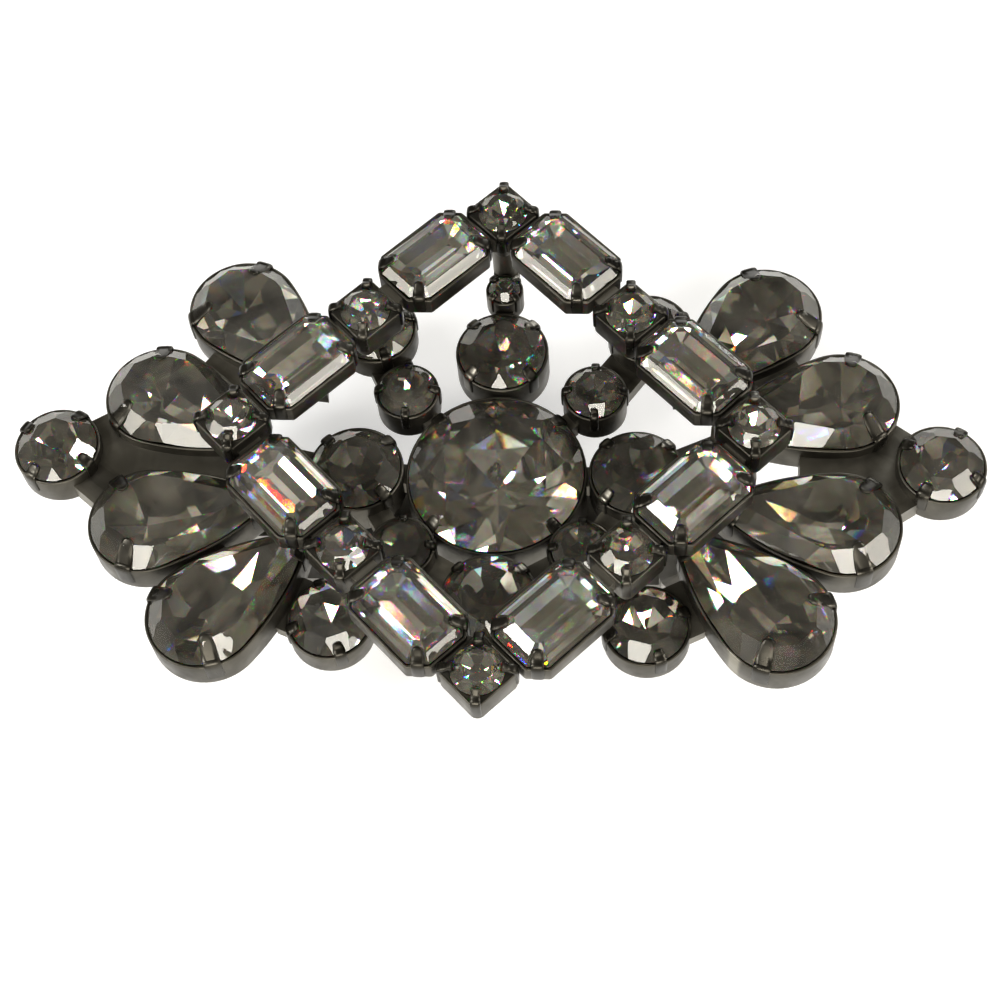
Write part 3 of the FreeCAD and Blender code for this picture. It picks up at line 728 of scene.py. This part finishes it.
for (stones_node, cups_node), (radius, deep, crown, inset, wide, reach, first) in ROUNDS.items():
    stone_r = radius - WALL - PLAY
    depth = min(deep - FLOOR - PLAY, stone_r * 0.82)
    centre = stones_node == "centre_stone"
    stone = (brilliant if centre else chaton)(stone_r, crown, inset, depth)
    cup = round_cup(radius, deep, wide, reach, (crown - GIRDLE) / inset, first)
    setting(stones_node, cups_node, stone, cup, places_of(stones_node),
            BRIGHT_FOIL if centre else DULL_FOIL, free_turn=True)

pear_gem = pear_stone(1.3, 1.2, PEAR_DEEP - FLOOR - PLAY - 0.1)
pear_metal = pear_cup(PEAR_DEEP)
for side in ("left", "right"):
    for letter in "abcd":
        name = f"_{side}_{letter}"
        places = [pear_place(p) for p in solids_of("pear_stone" + name)]
        setting("pear_stone" + name, "pear_cup" + name, pear_gem, pear_metal, places)

gap = WALL + PLAY
bar_gem = step_cut(BAR_LONG - 2 * gap, BAR_WIDE - 2 * gap, BAR_CUT - gap * (2 - math.sqrt(2)), 1.1, 1.2,
                   BAR_DEEP - FLOOR - PLAY)
bar_metal = baguette_cup(BAR_LONG, BAR_WIDE, BAR_CUT, BAR_DEEP)
for end in ("top", "bottom"):
    for side in ("left", "right"):
        for spot in ("outer", "side"):
            name = f"{end}_{side}_{spot}"
            turn = 45 if (end == "top") == (side == "left") else -45
            setting("baguette_" + name, "baguette_cup_" + name, bar_gem, bar_metal,
                    places_of("baguette_" + name, turn), BRIGHT_FOIL)

setting("frame_round_stones", "frame_square_cups",
        chaton(SQUARE_STONE_R, 0.75, 0.7, 1.3, 0.08, 32),
        square_cup(SQUARE_SIDE, SQUARE_CORNER_R, SQUARE_STONE_R, SQUARE_DEEP),
        places_of("frame_round_stones", 45), free_turn=True)

SOLDERED = ("solder_necks_centre", "solder_necks_left", "solder_necks_right", "frame_links",
            "riser_posts", "base_posts")
CLASP = ("clasp_arm", "hinge_pin", "base_bar", "tension_bow", "catch_tab_front", "catch_tab_back")
for names, material in ((SOLDERED, SOLDER), (CLASP, STEEL)):
    for name in names:
        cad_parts[name].data.materials.clear()
        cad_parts[name].data.materials.append(material)


# ======================= floor, light and camera =======================

def floor():
    """Pale ground at z = 0, 6 m wide."""
    mesh = bpy.data.meshes.new("floor")
    half = 3.0
    corners = [(-half, -half, 0), (half, -half, 0), (half, half, 0), (-half, half, 0)]
    mesh.from_pydata(corners, [], [(0, 1, 2, 3)])
    mesh.materials.append(floor_material())
    made = bpy.data.objects.new("floor", mesh)
    bpy.context.scene.collection.objects.link(made)


def softbox(name, where, size, power, colour=(1, 1, 1)):
    """Rectangular area light aimed at the ornament; metres and watts."""
    aim = Vector((0, 0, 0.015))
    data = bpy.data.lights.new(name, "AREA")
    data.shape = "RECTANGLE"
    data.size, data.size_y = size
    data.energy = power
    data.color = colour
    made = bpy.data.objects.new(name, data)
    made.location = where
    made.rotation_euler = (aim - Vector(where)).to_track_quat("-Z", "Y").to_euler()
    bpy.context.scene.collection.objects.link(made)


def dim_room():
    """World light: a dim room with paler and darker patches, even grey at the horizon."""
    world = bpy.data.worlds.new("room")
    world.use_nodes = True
    tree = world.node_tree
    tree.nodes.clear()
    where = node(tree, "ShaderNodeTexCoord").outputs["Generated"]
    height = node(tree, "ShaderNodeSeparateXYZ", {"Vector": where}).outputs["Z"]
    patches = node(tree, "ShaderNodeTexNoise", {"Vector": where, "Scale": 2.2, "Detail": 2.0})
    above = ramp(tree, patches.outputs["Fac"], [
        (0.34, (0.03, 0.065, 0.19)), (0.41, (0.05, 0.046, 0.036)), (0.50, (0.12, 0.11, 0.088)),
        (0.60, (0.36, 0.34, 0.30)), (0.68, (0.95, 0.93, 0.88))])
    band = rescaled(tree, height, 0.02, 0.22, 0.0, 1.0)
    colour = mixed(tree, band, (0.36, 0.35, 0.33), above)
    glow = node(tree, "ShaderNodeBackground", {"Color": colour, "Strength": 1.0}).outputs["Background"]
    node(tree, "ShaderNodeOutputWorld", {"Surface": glow})
    bpy.context.scene.world = world


def camera():
    """Looks down at the ornament from the front, a little right of centre. Millimetres and degrees."""
    target = Vector((0, 0, 15.8))
    distance, tilt, around, roll = 131.8, math.radians(29.54), math.radians(8.19), math.radians(3.11)
    lens, sensor = 70.056, 36
    back = Vector((math.sin(around) * math.sin(tilt), -math.cos(around) * math.sin(tilt), math.cos(tilt)))
    level = Vector((0, 1, 0)).cross(back).normalized()
    rising = back.cross(level)
    right = math.cos(roll) * level + math.sin(roll) * rising
    up = -math.sin(roll) * level + math.cos(roll) * rising
    data = bpy.data.cameras.new("camera")
    data.sensor_width, data.lens = sensor, lens
    data.shift_x, data.shift_y = 0.0056, -0.0416
    data.clip_start, data.clip_end = 0.005, 20
    made = bpy.data.objects.new("camera", data)
    matrix = Matrix((right, up, back)).transposed().to_4x4()
    matrix.translation = (target + back * distance) * MM
    made.matrix_world = matrix
    bpy.context.scene.collection.objects.link(made)
    bpy.context.scene.camera = made


floor()
softbox("key", (-0.34, -0.16, 0.42), (0.10, 0.14), 1.6)
softbox("side", (0.42, 0.02, 0.34), (0.07, 0.16), 1.2, (1.0, 0.97, 0.92))
softbox("back", (0.16, 0.46, 0.26), (0.2, 0.06), 0.9, (0.93, 0.96, 1.0))
softbox("left_low", (-0.42, -0.12, 0.13), (0.13, 0.08), 0.33, (1.0, 0.96, 0.89))
softbox("right_low", (0.40, -0.20, 0.17), (0.15, 0.09), 0.42, (1.0, 0.96, 0.89))
softbox("front", (0.02, -0.43, 0.27), (0.40, 0.13), 2.5, (1.0, 0.965, 0.9))
dim_room()
camera()
bpy.context.scene.view_settings.view_transform = "Standard"
